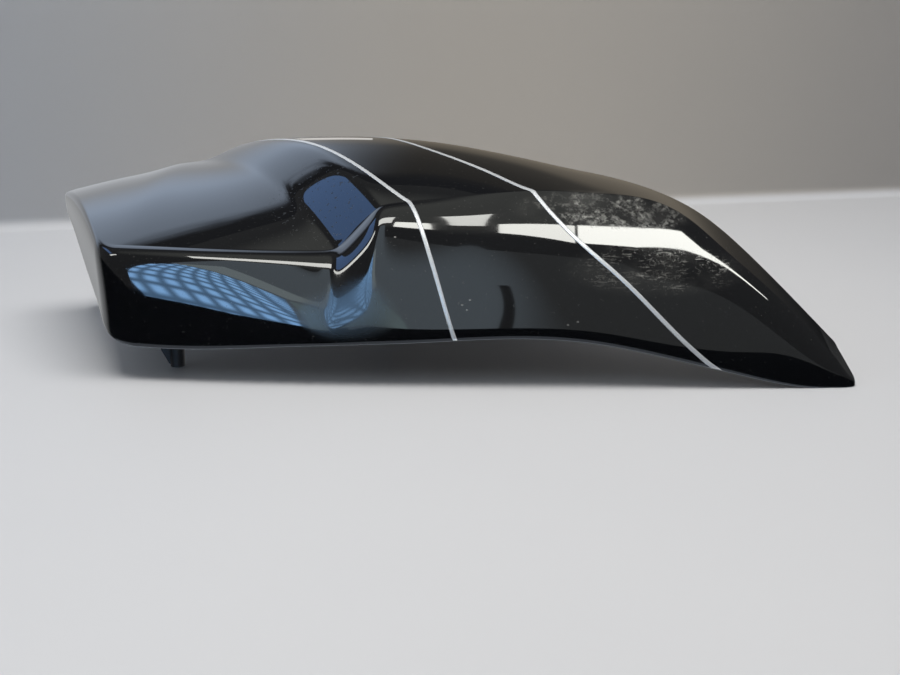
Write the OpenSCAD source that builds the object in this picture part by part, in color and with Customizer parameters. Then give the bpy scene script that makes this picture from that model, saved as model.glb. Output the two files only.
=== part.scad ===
// Motorbike side panel: one moulded shell with three screw posts inside,
// and two strips of pinstripe tape laid over its crown and flank.
// It lies outer face up, on its pointed end and on the ends of the posts.
// X runs to the pointed end, Y away from the flank, Z up out of the outer face.
// Every size is in millimetres.

/* [Part] */
// Piece to build

/* [Moulding] */
// Wall thickness over most of the shell
wall = 2.8; // [2:0.1:4]
// Wall thickness at the pointed end, where the two sides come together
tip_wall = 1.3; // [1:0.1:2]
// Where the wall starts to thin, and where it is down to the tip's thickness
thinning = [170, 235]; // [x, x] pair, 150 to 240
// Depth of the rim that turns down along the far edge
rim_drop = 10; // [6:1:16]
// How far the rim's bend stands out from the crown
rim_reach = 6; // [4:0.5:9]
// Distance of the rim's lower edge from the crown, as a part of that reach
rim_overhang = 1.15; // [1:0.05:1.3]
// Part of the rim's reach that is left at the tip
tip_rim = 0.5; // [0.3:0.05:1]
// Length of the tip's round end
tip_round = 8; // [4:0.5:12]

/* [Crown seen from above] */
// Crease between the crown and the flank
crease_plan = [[-200, -63], [-150, -68], [-100, -70], [-50, -65], [0, -55], [50, -50], [75, -49.6],
    [100, -49.6], [135, -49.3], [154, -55], [172, -66], [193, -76.8], [212, -84.3], [226, -89.2],
    [238, -93.3]]; // [x, y] pairs
// Start of the rim's bend along the far edge
far_plan = [[-245, 72], [-190, 80], [-130, 87], [-80, 89], [-30, 86], [20, 75], [60, 58],
    [100, 32.5], [135, 6], [166.5, -21], [197.5, -48], [221.5, -70], [244.5, -91]]; // [x, y] pairs
// Corner of the crown where the left side meets the flank, and how far its bend runs
near_corner = [-182, -63.5, 9]; // [x, y, run]
// Corner of the crown where the left side meets the far edge, and how far its bend runs
far_corner = [-238, 73, 17]; // [x, y, run]

/* [Crown heights] */
// Low shelf of the crown at the crease
shelf_crease = [[-250, 77], [-150, 75], [-50, 72], [50, 71]]; // [x, z] pairs
// Low shelf of the crown at the far edge
shelf_far = [[-250, 81], [-232, 85], [-205, 91], [-180, 96.2], [-165, 100], [-150, 101], [-120, 102],
    [0, 102]]; // [x, z] pairs
// High body of the crown at the crease
body_crease = [[-60, 96], [-20, 98], [20, 100.8], [75, 104.1], [100, 102.6], [135, 97.8], [154, 88.6],
    [172, 73.8], [193, 56.1], [212, 38.5], [226, 23.8], [238, 10.6]]; // [x, z] pairs
// High body of the crown at the far edge
body_far = [[-180, 114], [-130, 115.5], [-90, 114.5], [-60, 112.8], [0, 108], [50, 104.8], [90, 104],
    [115, 101.5], [141, 96.2], [166, 85.5], [191.5, 65.3], [216.5, 41], [244.5, 11.5]]; // [x, z] pairs
// Rise of the crown between its two edges
crown_rise = [[-250, 4], [-160, 10], [-90, 17], [-30, 20], [20, 17], [60, 10], [100, 3],
    [140, 0.5], [180, 0], [250, 0]]; // [x, rise] pairs
// Ramp from the shelf up to the body: middle, width and softness at the crease
ramp_near = [-36, 24, 0.14]; // [x, width, softness]
// The same at the far edge
ramp_far = [-133, 28, 0.28]; // [x, width, softness]

/* [Flank] */
// Lower edge of the flank, seen from above
hem_plan = [[-190, -78.5], [-90, -90], [0, -95], [110, -97], [200, -97], [243, -95]]; // [x, y] pairs
// Height of the flank's lower edge
hem_height = [[-185, 21.5], [-140, 19.4], [-80, 22.1], [0, 25.8], [60, 28.4], [100, 25.3], [140, 17.1],
    [180, 7.5], [215, 0.6], [243, 0]]; // [x, z] pairs
// Reach of the shoulder under the crease
shoulder_reach = [[-250, 13], [-60, 13], [-20, 16], [40, 22], [75, 23.2], [110, 23.9], [150, 22.8],
    [175, 21], [200, 21.6], [225, 14], [243, 3]]; // [x, reach] pairs
// Dip of the shoulder below level, in degrees
shoulder_dip = [[-250, 16], [-60, 16], [-20, 22], [40, 34], [75, 41], [110, 43], [150, 42], [175, 41.7],
    [200, 44], [225, 50.5], [243, 60]]; // [x, degrees] pairs
// Part of the flank's height that rises straight from its lower edge
flank_rise = [[-250, 0.8], [-170, 0.8], [-110, 0.68], [-60, 0.56], [-20, 0.5], [40, 0.45], [110, 0.49],
    [150, 0.5], [175, 0.53], [200, 0.53], [225, 0.48], [243, 0.4]]; // [x, part] pairs

/* [Left side] */
// Lower corner under the near corner of the crown
near_foot = [-178, -79.5, 17]; // [x, y, run]
// Lower corner under the far corner of the crown
far_foot = [-244, 81, 18]; // [x, y, run]
// Height of the left side's lower edge, from the flank to the far edge
side_height = [[-82, 20], [-75, 23.7], [-62, 32.5], [-46, 39], [-21, 46], [11, 56], [48, 67],
    [70, 71], [90, 75]]; // [y, z] pairs

/* [Facets] */
// Columns of the mesh: number, and x at the crease, at the far edge and at the lower edge
column_x = [[0, -173, -216, -161], [12, -58, -186, -60], [24, -14, -124, -18], [36, 70, -10, 62],
    [46, 150, 128, 138], [60, 234, 238.5, 234.5]]; // [column, x, x, x] rows
// Rows across the crown
crown_rows = 12; // [8:2:20]
// Rows down the flank and the rim
skirt_rows = 8; // [6:1:12]

/* [Screw posts] */
// Place of each post and where its widest web points, in degrees
posts = [[-144, -53, 180], [-184, 50, 0], [-26, 44, 90]]; // [x, y, degrees] rows
// Radius of a post
post_r = 4.3; // [3:0.1:6]
// Radius and depth of the screw hole in its end
screw_hole = [1.75, 14]; // [radius, depth]
// Thickness of the webs that brace a post
web = 2.2; // [1.5:0.1:3]
// Outline of the wide web: height above the post's end, distance from its middle
wide_web = [[1, 3.5], [2, 5], [10, 9.3], [40, 13]]; // [height, distance] pairs
// The same for the three narrow webs
narrow_web = [[14, 3.5], [22, 6], [40, 8]]; // [height, distance] pairs

/* [Pinstripes] */
// Width of the tape
tape_width = 2.4; // [1.5:0.1:6]
// Thickness of the tape
tape_thick = 0.3; // [0.1:0.05:0.5]
// Run of the front stripe: rows count up from the crease to the far edge, and down from it on the flank
front_run = [[-8, 30.4], [-5.1, 28.65], [-3.5, 27.6], [-1.2, 26.2], [0, 25.5], [2, 24.5], [3.75, 23.95],
    [6.1, 24], [12, 25]]; // [row, column] pairs
// Run of the rear stripe
rear_run = [[-8, 49.8], [-6.9, 46.6], [-5.6, 43.4], [-4.1, 40.2], [-2.15, 37.15], [-0.75, 35.8], [1, 34.8],
    [3.1, 33.7], [5, 32.1], [7, 31.7], [12, 31.5]]; // [row, column] pairs
// Lengths of tape between two cuts of its mesh, in rows
tape_step = 0.25; // [0.1:0.05:1]

/* [Hidden] */
paint = "#101214";
silver = "#c3c7ca";

// Blends and vectors
function lerp(a, b, t) = a + (b - a) * t;
function unit(v) = v / norm(v);
function clamp(x, low, high) = min(max(x, low), high);
function ease(x, low, high) = let (t = clamp((x - low) / (high - low), 0, 1)) t * t * (3 - 2 * t);

// Step from 0 to 1 about s = 0, with corners rounded by k
function soft_step(s, k) = (1 + norm([s + 0.5, k]) - norm([s - 0.5, k])) / 2;

// Natural spline through stations p: the forward and backward sweep for its bending
function sweep_up(p, i = 1, c = [0], d = [0]) =
    i > len(p) - 2 ? [c, d] :
    let (h = p[i][0] - p[i - 1][0], g = p[i + 1][0] - p[i][0],
        turn = 6 * ((p[i + 1][1] - p[i][1]) / g - (p[i][1] - p[i - 1][1]) / h),
        pivot = 2 * (h + g) - h * c[i - 1])
    sweep_up(p, i + 1, concat(c, [g / pivot]), concat(d, [(turn - h * d[i - 1]) / pivot]));
function sweep_down(c, d, i, m = [0]) =
    i < 0 ? m : sweep_down(c, d, i - 1, concat([d[i] - c[i] * m[0]], m));
function spline(p) = let (s = sweep_up(p)) [p, sweep_down(s[0], s[1], len(p) - 2)];

// Height of spline q at x, straight on beyond its ends
function span_of(p, x, i = 0) = i > len(p) - 3 || x < p[i + 1][0] ? i : span_of(p, x, i + 1);
function at(q, x) =
    let (p = q[0], m = q[1], i = span_of(p, x), h = p[i + 1][0] - p[i][0],
        s = clamp(x, p[0][0], p[len(p) - 1][0]),
        a = (p[i + 1][0] - s) / h, b = 1 - a,
        slope = (p[i + 1][1] - p[i][1]) / h + ((1 - 3 * a * a) * m[i] + (3 * b * b - 1) * m[i + 1]) * h / 6)
    a * p[i][1] + b * p[i + 1][1] + ((a * a * a - a) * m[i] + (b * b * b - b) * m[i + 1]) * h * h / 6
    + (x - s) * slope;

crease_y = spline(crease_plan);
far_y = spline(far_plan);
shelf_near_z = spline(shelf_crease);
shelf_far_z = spline(shelf_far);
body_near_z = spline(body_crease);
body_far_z = spline(body_far);
rise_z = spline(crown_rise);
hem_y = spline(hem_plan);
hem_z = spline(hem_height);
side_z = spline(side_height);
reach_of = spline(shoulder_reach);
dip_of = spline(shoulder_dip);
upright_of = spline(flank_rise);

// Height of the crown over plan point p: shelf and body joined by the ramp, with the crown's rise
function crown_z(p) =
    let (x = min(p[0], column_x[len(column_x) - 1][1]), near = at(crease_y, x), far = at(far_y, x),
        v = clamp((p[1] - near) / (far - near), -0.3, 1.3),
        ramp = lerp(ramp_near, ramp_far, v),
        r = soft_step((p[0] - ramp[0]) / ramp[1], ramp[2]),
        low = lerp(at(shelf_near_z, p[0]), at(shelf_far_z, p[0]), v),
        high = lerp(at(body_near_z, p[0]), at(body_far_z, p[0]), v))
    lerp(low, high, r) + 4 * v * (1 - v) * at(rise_z, p[0]);

// Curves with two and with three legs
function bend(a, b, c, t) = lerp(lerp(a, b, t), lerp(b, c, t), t);
function sweep(a, b, c, d, t) = lerp(bend(a, b, c, t), bend(b, c, d, t), t);

last_col = column_x[len(column_x) - 1][0];
column_tracks = [for (side = [1:3]) spline([for (row = column_x) [row[0], row[side]]])];
columns = [for (i = [0:last_col]) [for (track = column_tracks) at(track, i)]];
last_row = crown_rows;
across = [for (j = [0:last_row]) lerp(j / last_row, (1 - cos(180 * j / last_row)) / 2, 0.6)];

// Straight side with a bend at both corners, from point a to point b, at each row
bend_rows = [3, 4];
function side_line(a, near, far, b) =
    let (p = [near[0], near[1]], q = [far[0], far[1]], way = unit(q - p),
        s = p + way * near[2], e = q - way * far[2],
        v1 = across[bend_rows[0]], v2 = across[last_row - bend_rows[1]])
    [for (j = [0:last_row]) let (v = across[j])
        v <= v1 ? bend(a, p, s, v / v1) : v >= v2 ? bend(e, q, b, (v - v2) / (1 - v2)) :
        lerp(s, e, (v - v1) / (v2 - v1))];

function near_at(i) = [columns[i][0], at(crease_y, columns[i][0])];
function far_at(i) = [columns[i][1], at(far_y, columns[i][1])];
left_side = side_line(near_at(0), near_corner, far_corner, far_at(0));
tip_way = unit(far_at(last_col) - far_at(last_col - 1));
right_side = let (a = near_at(last_col), b = far_at(last_col), way = unit(a - near_at(last_col - 1)))
    [for (v = across) sweep(a, a + way * tip_round, b + tip_way * tip_round, b, v)];

// Plan of the crown's mesh: columns from crease to far edge, drawn out to the two ends
function plan_at(i, j) =
    let (v = across[j], left = pow(max(0, 1 - i / 5), 2), right = pow(max(0, 1 - (last_col - i) / 2), 2))
    lerp(near_at(i), far_at(i), v)
    + left * (left_side[j] - lerp(near_at(0), far_at(0), v))
    + right * (right_side[j] - lerp(near_at(last_col), far_at(last_col), v));
// Wall thickness at x, and how much deeper it is measured straight down at plan point p
function wall_at(x) = lerp(wall, tip_wall, ease(x, thinning[0], thinning[1]));
function steepness(p) =
    norm([crown_z(p + [1, 0]) - crown_z(p - [1, 0]), crown_z(p + [0, 1]) - crown_z(p - [0, 1]), 2]) / 2;

// Crown of the outer skin (skin = 0) and of the inner skin (skin = 1)
plan = [for (i = [0:last_col]) [for (j = [0:last_row]) plan_at(i, j)]];
function crown(skin) = [for (column = plan) [for (p = column)
    [p[0], p[1], crown_z(p) - skin * wall_at(p[0]) * steepness(p)]]];
crown_out = crown(0);
crown_in = crown(1);

// The crown's edge, round from the crease by the tip and the far edge to the left side
far_start = last_col + last_row;
left_start = far_start + last_col;
edge_cells = [for (i = [0:last_col]) [i, 0], for (j = [1:last_row - 1]) [last_col, j],
    for (i = [last_col:-1:0]) [i, last_row], for (j = [last_row - 1:-1:1]) [0, j]];
loop_len = len(edge_cells);
function wrap(k) = (k + loop_len) % loop_len;
edge = [for (c = edge_cells) crown_out[c[0]][c[1]]];

// Outward direction of the crown's edge in plan, and the crown's slope that way
function outward(k) =
    let (d = edge[wrap(k + 1)] - edge[max(k - 1, far_start)],
        turn = lerp(-90, atan2(tip_way[0], -tip_way[1]), across[edge_cells[k][1]]))
    k <= last_col ? [0, -1] : k < far_start ? [cos(turn), sin(turn)] : unit([d[1], -d[0]]);
function slope_out(p, n) = clamp(crown_z(p) - crown_z(p - n), -0.6, 0.6);

// Lower edge of the skirt under each point of the crown's edge
function flat(p) = [p[0], p[1]];
function hem_near(i) = let (x = columns[i][2]) [x, at(hem_y, x), max(at(hem_z, x), 0)];
function rim_part(x) = lerp(1, tip_rim, ease(x, thinning[0], thinning[1]));
function hem_far(k) =
    let (p = flat(edge[k]) + outward(k) * rim_reach * rim_overhang * rim_part(edge[k][0]))
    [p[0], p[1], max(edge[k][2] - rim_drop, 0)];
left_hem = side_line(flat(hem_near(0)), near_foot, far_foot, flat(hem_far(left_start)));
tip_hem = let (a = hem_near(last_col), b = hem_far(far_start))
    [for (v = across) sweep(a, a + [12, 0, 0], [b[0] + 7, b[1] - 7, 0], b, v)];
hem = [for (k = [0:loop_len - 1]) let (i = edge_cells[k][0], j = edge_cells[k][1], p = left_hem[j])
    k <= last_col ? hem_near(i) : k < far_start ? tip_hem[j] : k <= left_start ? hem_far(k) :
    [p[0], p[1], at(side_z, p[1])]];

// Skirt profile under edge point k: the shoulder's leg out, then the upright's leg at the lower edge
function shoulder_leg(k) =
    let (x = edge[k][0], near = at(reach_of, x) * [cos(at(dip_of, x)), -sin(at(dip_of, x))],
        rim = rim_reach * rim_part(x) * [1, slope_out(flat(edge[k]), outward(k))])
    k <= last_col ? near : k < far_start ? lerp(near, rim, across[edge_cells[k][1]]) :
    lerp(rim, near, 1 - ease(across[edge_cells[k][1]], 0, 0.2));
function upright_leg(k) =
    let (near = at(upright_of, edge[k][0]), j = edge_cells[k][1])
    (edge[k][2] - hem[k][2]) * (k <= last_col ? near : k < far_start ? lerp(near, 0.6, across[j]) :
        lerp(0.6, near, 1 - ease(across[j], 0, 0.2)));

// The skirt's profile as four control points in its own plane, moved in by depth t
function left_of(a, b) = let (u = unit(b - a)) [-u[1], u[0]];
function mitre(a, b, c) = let (m = left_of(a, b), n = left_of(b, c)) (m + n) / max(1 + m * n, 0.8);
function moved_in(q, t) =
    [q[0], q[1] - t * mitre(q[0], q[1], q[2]), q[2] - t * mitre(q[1], q[2], q[3]), q[3] - [t, 0]];
function skirt_profile(k, skin) =
    let (n = outward(k), t = skin * wall_at(edge[k][0]), c = edge_cells[k],
        top = (skin == 0 ? crown_out : crown_in)[c[0]][c[1]], way = flat(hem[k] - edge[k]), reach = way * n,
        foot = [reach, hem[k][2] - edge[k][2]], aside = way - reach * n,
        q = moved_in([[0, 0], shoulder_leg(k), foot + [0, upright_leg(k)], foot], t),
        place = function (c, part)
            edge[k] + [n[0] * c[0] + aside[0] * part, n[1] * c[0] + aside[1] * part, c[1]])
    [top, place(q[1], 0), place(q[2], 1), place(q[3], 1)];
function skirt(skin) = [for (k = [0:loop_len - 1]) let (q = skirt_profile(k, skin))
    [for (r = [0:skirt_rows]) sweep(q[0], q[1], q[2], q[3], r / skirt_rows)]];
skirt_out = skirt(0);
skirt_in = skirt(1);

// Point numbers: the crown inside its edge, then the skirt, for the outer and then the inner skin
crown_count = (last_col - 1) * (last_row - 1);
skin_count = crown_count + loop_len * (skirt_rows + 1);
function edge_no(i, j) =
    j == 0 ? i : i == last_col ? last_col + j : j == last_row ? far_start + last_col - i : wrap(loop_len - j);
function skirt_no(k, r) = crown_count + wrap(k) * (skirt_rows + 1) + r;
function crown_no(i, j) =
    i > 0 && i < last_col && j > 0 && j < last_row ? (i - 1) * (last_row - 1) + j - 1 :
    skirt_no(edge_no(i, j), 0);
function halves(a, b, c, d) = [[a, c, b], [a, d, c]];
skin_faces = [
    for (i = [0:last_col - 1]) for (j = [0:last_row - 1])
        each halves(crown_no(i, j), crown_no(i + 1, j), crown_no(i + 1, j + 1), crown_no(i, j + 1)),
    for (k = [0:loop_len - 1]) for (r = [0:skirt_rows - 1])
        each halves(skirt_no(k, r + 1), skirt_no(k + 1, r + 1), skirt_no(k + 1, r), skirt_no(k, r))];
inner_faces = [for (f = skin_faces) [f[0], f[2], f[1]] + [1, 1, 1] * skin_count];
rim_faces = [for (k = [0:loop_len - 1]) let (a = skirt_no(k, skirt_rows), b = skirt_no(k + 1, skirt_rows))
    each halves(a, a + skin_count, b + skin_count, b)];
function skin_points(crown, skirt) =
    [for (i = [1:last_col - 1]) for (j = [1:last_row - 1]) crown[i][j], for (s = skirt) each s];

// Middle of the shell in plan, which becomes the origin
outline_x = [for (s = skirt_out) each [for (p = s) p[0]]];
outline_y = [for (s = skirt_out) each [for (p = s) p[1]]];
middle = [max(outline_x) + min(outline_x), max(outline_y) + min(outline_y), 0] / 2;

// Outer skin from the lower edge of the flank (row -skirt_rows) to the far edge (row last_row)
function skin_point(i, j) = j < 0 ? skirt_out[i][-j] : crown_out[i][j];
function on_skin(column, row) =
    let (i = clamp(floor(column), 0, last_col - 1), j = clamp(floor(row), -skirt_rows, last_row - 1),
        s = column - i, t = row - j, a = skin_point(i, j), c = skin_point(i + 1, j + 1),
        b = s > t ? skin_point(i + 1, j) : skin_point(i, j + 1))
    s > t ? a + (b - a) * s + (c - b) * t : a + (b - a) * t + (c - b) * s;

module shell() {
    polyhedron(concat(skin_points(crown_out, skirt_out), skin_points(crown_in, skirt_in)),
        concat(skin_faces, inner_faces, rim_faces));
}

// Height inside the wall where a post of radius r ends
function roof(place, r) =
    let (around = [for (a = [0:45:315]) crown_z(place + r * [cos(a), sin(a)])])
    (max(around) + min(around) - wall) / 2;

// Post standing on the table, with webs that run up into the shell
module web_blade(place, turn, outline) {
    way = [cos(turn), sin(turn)];
    width = outline[len(outline) - 1][1];
    top = [for (s = [width : -width / 6 : 0]) [s, roof(place + way * s, web / 2)]];
    translate([place[0], place[1], 0]) rotate([90, 0, turn]) linear_extrude(web, center = true)
        polygon(concat([[0, outline[0][0]]], [for (p = outline) [p[1], p[0]]], top));
}

module post(place, turn) {
    translate([place[0], place[1], 0]) cylinder(roof(place, post_r), r = post_r, $fn = 48);
    web_blade(place, turn, wide_web);
    for (side = [90:90:270]) web_blade(place, turn + side, narrow_web);
}

module side_panel() {
    color(paint) translate(-middle) difference() {
        union() {
            shell();
            for (p = posts) post([p[0], p[1]], p[2]);
        }
        for (p = posts) translate([p[0], p[1], -1]) cylinder(screw_hole[1] + 1, r = screw_hole[0], $fn = 48);
    }
}

// Tape laid over the outer skin along a run, between rows
module tape(run) {
    track = spline(run);
    steps = [for (row = [-skirt_rows : tape_step : last_row]) row];
    middle_line = [for (row = steps) on_skin(at(track, row), row)];
    last = len(steps) - 1;
    cuts = [for (m = [0:last]) let (c = at(track, steps[m]), r = steps[m],
            along = unit(middle_line[min(m + 1, last)] - middle_line[max(m - 1, 0)]),
            aside = on_skin(c + 0.5, r) - on_skin(c - 0.5, r),
            half = tape_width / 2 / norm(cross(aside, along)),
            up = unit(cross(aside, along)) * tape_thick)
        let (a = on_skin(c - half, r), b = on_skin(c + half, r)) [a, b, b + up, a + up]];
    ends = [[3, 2, 1, 0], [for (s = [0:3]) 4 * last + s]];
    sides = [for (m = [0:last - 1]) for (s = [0:3]) let (a = 4 * m + s, b = 4 * m + (s + 1) % 4)
        each [[a, b + 4, a + 4], [a, b, b + 4]]];
    polyhedron([for (c = cuts) each c], concat(ends, sides));
}

module front_pinstripe() {
    color(silver) translate(-middle) tape(front_run);
}

module rear_pinstripe() {
    color(silver) translate(-middle) tape(rear_run);
}

side_panel();
front_pinstripe();
rear_pinstripe();
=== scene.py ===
import bpy
import numpy as np
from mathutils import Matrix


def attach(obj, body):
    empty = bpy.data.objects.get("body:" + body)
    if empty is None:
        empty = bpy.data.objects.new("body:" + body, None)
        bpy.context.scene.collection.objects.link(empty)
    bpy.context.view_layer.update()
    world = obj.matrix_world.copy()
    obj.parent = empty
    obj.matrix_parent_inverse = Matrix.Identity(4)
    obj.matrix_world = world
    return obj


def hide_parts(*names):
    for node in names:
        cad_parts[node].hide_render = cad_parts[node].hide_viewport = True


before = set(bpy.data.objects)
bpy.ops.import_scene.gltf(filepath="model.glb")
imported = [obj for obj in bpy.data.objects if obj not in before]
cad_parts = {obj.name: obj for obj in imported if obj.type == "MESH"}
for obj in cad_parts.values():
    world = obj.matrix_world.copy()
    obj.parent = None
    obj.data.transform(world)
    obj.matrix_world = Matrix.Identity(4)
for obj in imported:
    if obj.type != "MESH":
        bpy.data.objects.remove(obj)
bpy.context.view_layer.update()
print("frame loaded, nodes:", sorted(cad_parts))

mm = 0.001  # the panel is drawn in millimetres, from the drawing's own zero point, and made in metres


# Straight blend of a and b: a at t = 0, b at t = 1
def lerp(a, b, t):
    return a + (b - a) * t


# Vectors over their own length, along the last axis
def unit(v):
    return v / np.linalg.norm(v, axis=-1, keepdims=True)


# Smooth step from 0 at low to 1 at high: 3 t squared less 2 t cubed
def ease(x, low, high):
    t = np.clip((x - low) / (high - low), 0, 1)
    return t * t * (3 - 2 * t)


# Ramp from 0 to 1 about s = 0 whose two corners are arcs of a hyperbola, k wide
def softStep(s, k):
    return (1 + np.hypot(s + 0.5, k) - np.hypot(s - 0.5, k)) / 2


# Cubic curve with two inner control points: b and c pull, a and d are its ends
def sweep(a, b, c, d, t):
    return a * (1 - t) ** 3 + 3 * b * t * (1 - t) ** 2 + 3 * c * t * t * (1 - t) + d * t ** 3


# Curve with one control point b between its ends a and c
def bend(a, b, c, t):
    return a * (1 - t) ** 2 + 2 * b * t * (1 - t) + c * t * t


# Smooth curve through stations: one cubic in each span, unbent at both ends and straight beyond them
def spline(stations):
    x, y = np.array(stations, float).T
    h = np.diff(x)
    rise = np.diff(y) / h
    n = len(x)
    spans = np.diag(np.r_[1, 2 * (h[:-1] + h[1:]), 1])
    spans += np.diag(np.r_[h[:-1], 0], -1) + np.diag(np.r_[0, h[1:]], 1)
    m = np.linalg.solve(spans, np.r_[0, 6 * np.diff(rise), 0])

    # value at s: the two ends' blend a y0 + b y1, plus the bow of the bends, and the end's slope beyond it
    def at(s):
        k = np.clip(np.searchsorted(x, s, side="right") - 1, 0, n - 2)
        c = np.clip(s, x[0], x[-1])
        a = (x[k + 1] - c) / h[k]
        b = 1 - a
        slope = rise[k] + ((1 - 3 * a * a) * m[k] + (3 * b * b - 1) * m[k + 1]) * h[k] / 6
        bow = ((a ** 3 - a) * m[k] + (b ** 3 - b) * m[k + 1]) * h[k] ** 2 / 6
        return a * y[k] + b * y[k + 1] + bow + (s - c) * slope

    return at


# The moulded panel: stations in millimetres, [x, value] unless a note says otherwise
panel = {
    "wall": 2.8, "tipWall": 1.3, "thinning": (170, 235),
    "rimDrop": 10, "rimReach": 6, "tipRim": 0.5, "tipRound": 8,
    "creaseY": [[-200, -63], [-150, -68], [-100, -70], [-50, -65], [0, -55], [50, -50], [75, -49.6],
                [100, -49.6], [135, -49.3], [154, -55], [172, -66], [193, -76.8], [212, -84.3],
                [226, -89.2], [238, -93.3]],
    "farY": [[-245, 72], [-190, 80], [-130, 87], [-80, 89], [-30, 86], [20, 75], [60, 58], [100, 32.5],
             [135, 6], [166.5, -21], [197.5, -48], [221.5, -70], [244.5, -91]],
    "nearCorner": (-182, -63.5, 9), "farCorner": (-238, 73, 17),  # x, y and how far the bend runs
    "shelfNear": [[-250, 77], [-150, 75], [-50, 72], [50, 71]],
    "shelfFar": [[-250, 81], [-232, 85], [-205, 91], [-180, 96.2], [-165, 100], [-150, 101],
                 [-120, 102], [0, 102]],
    "bodyNear": [[-60, 96], [-20, 98], [20, 100.8], [75, 104.1], [100, 102.6], [135, 97.8], [154, 88.6],
                 [172, 73.8], [193, 56.1], [212, 38.5], [226, 23.8], [238, 10.6]],
    "bodyFar": [[-180, 114], [-130, 115.5], [-90, 114.5], [-60, 112.8], [0, 108], [50, 104.8],
                [90, 104], [115, 101.5], [141, 96.2], [166, 85.5], [191.5, 65.3], [216.5, 41],
                [244.5, 11.5]],
    "rise": [[-250, 4], [-160, 10], [-90, 17], [-30, 20], [20, 17], [60, 10], [100, 3], [140, 0.5],
             [180, 0], [250, 0]],
    "rampNear": (-36, 24, 0.14), "rampFar": (-133, 28, 0.28),  # middle, width, softness
    "hemY": [[-190, -78.5], [-90, -90], [0, -95], [110, -97], [200, -97], [243, -95]],
    "hemZ": [[-185, 21.5], [-140, 19.4], [-80, 22.1], [0, 25.8], [60, 28.4], [100, 25.3], [140, 17.1],
             [180, 7.5], [215, 0.6], [243, 0]],
    "reach": [[-250, 13], [-60, 13], [-20, 16], [40, 22], [75, 23.2], [110, 23.9], [150, 22.8],
              [175, 21], [200, 21.6], [225, 14], [243, 3]],
    "dip": [[-250, 16], [-60, 16], [-20, 22], [40, 34], [75, 41], [110, 43], [150, 42], [175, 41.7],
            [200, 44], [225, 50.5], [243, 60]],
    "flankRise": [[-250, 0.8], [-170, 0.8], [-110, 0.68], [-60, 0.56], [-20, 0.5], [40, 0.45],
                  [110, 0.49], [150, 0.5], [175, 0.53], [200, 0.53], [225, 0.48], [243, 0.4]],
    "nearFoot": (-178, -79.5, 17), "farFoot": (-244, 81, 18),
    "sideZ": [[-82, 20], [-75, 23.7], [-62, 32.5], [-46, 39], [-21, 46], [11, 56], [48, 67], [70, 71],
              [90, 75]],  # [y, z]
    "columns": [[0, -173, -216, -161], [12, -58, -186, -60], [24, -14, -124, -18], [36, 70, -10, 62],
                [46, 150, 128, 138], [60, 234, 238.5, 234.5]],  # column, x at crease, far edge, hem
    "rows": 12, "skirtRows": 8, "lastX": 234,
    "crowding": 0.6, "beyond": 0.3,  # of the rows at the edges; how far v runs past the crown's two edges
    "leftFade": 5, "rightFade": 2, "bendRows": (3.0, 8.0),  # columns of the ends' lines; rows where bends meet
    "rimOverhang": 1.15, "rimSlope": 0.6, "rimRise": 0.6, "cornerFade": 0.2,
    "tipHemOut": 12, "tipHemBack": 7,  # pulls of the hem's curve round the pointed end
}
# How finely the panel's surface is cut, and how widely its edges are rounded, in steps of the grid
mesh = {
    "columns": 240, "across": 60, "down": 34, "rim": 4, "downCrowding": 1.5, "downSlowing": 0.4,
    "creaseBend": 3.5, "creaseRounds": 4, "hemBend": 3, "hemRounds": 2, "pull": 0.5,
}

curve = {key: spline(value) for key, value in panel.items()
         if isinstance(value, list) and key != "columns"}
columnX = [spline([[row[0], row[k]] for row in panel["columns"]]) for k in (1, 2, 3)]
lastColumn = panel["columns"][-1][0]


# Height of the crown over plan points: shelf and body joined by the ramp, plus a parabola between the edges
def crownZ(x, y):
    held = np.minimum(x, panel["lastX"])
    near, far = curve["creaseY"](held), curve["farY"](held)
    v = np.clip((y - near) / (far - near), -panel["beyond"], 1 + panel["beyond"])
    ramp = [lerp(a, b, v) for a, b in zip(panel["rampNear"], panel["rampFar"])]
    up = softStep((x - ramp[0]) / ramp[1], ramp[2])
    low = lerp(curve["shelfNear"](x), curve["shelfFar"](x), v)
    high = lerp(curve["bodyNear"](x), curve["bodyFar"](x), v)
    return lerp(low, high, up) + 4 * v * (1 - v) * curve["rise"](x)


# Even steps t from 0 to 1, mixed with a half cosine that crowds them at both ends
def crowded(t):
    return lerp(t, (1 - np.cos(np.pi * t)) / 2, panel["crowding"])


# Part of the way across the crown at each row
def across(row):
    return crowded(row / panel["rows"])


# Side from a to b at parts v of the way: a bend round each corner, and a straight line between the bends
def sideLine(a, near, far, b, v):
    p, q = np.array(near[:2], float), np.array(far[:2], float)
    way = unit(q - p)
    s, e = p + way * near[2], q - way * far[2]
    v1, v2 = across(np.array(panel["bendRows"]))
    v = np.asarray(v)[..., None]
    first, last = bend(a, p, s, v / v1), bend(e, q, b, (v - v2) / (1 - v2))
    return np.where(v <= v1, first, np.where(v >= v2, last, lerp(s, e, (v - v1) / (v2 - v1))))


# Plan point where a column meets the crease: x from the column, y from x
def nearAt(column):
    x = columnX[0](column)
    return np.stack([x, curve["creaseY"](x)], -1)


# Plan point where a column meets the far edge
def farAt(column):
    x = columnX[1](column)
    return np.stack([x, curve["farY"](x)], -1)


tipWay = unit(farAt(lastColumn) - farAt(lastColumn - 1))  # the far edge's own direction at the pointed end


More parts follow.
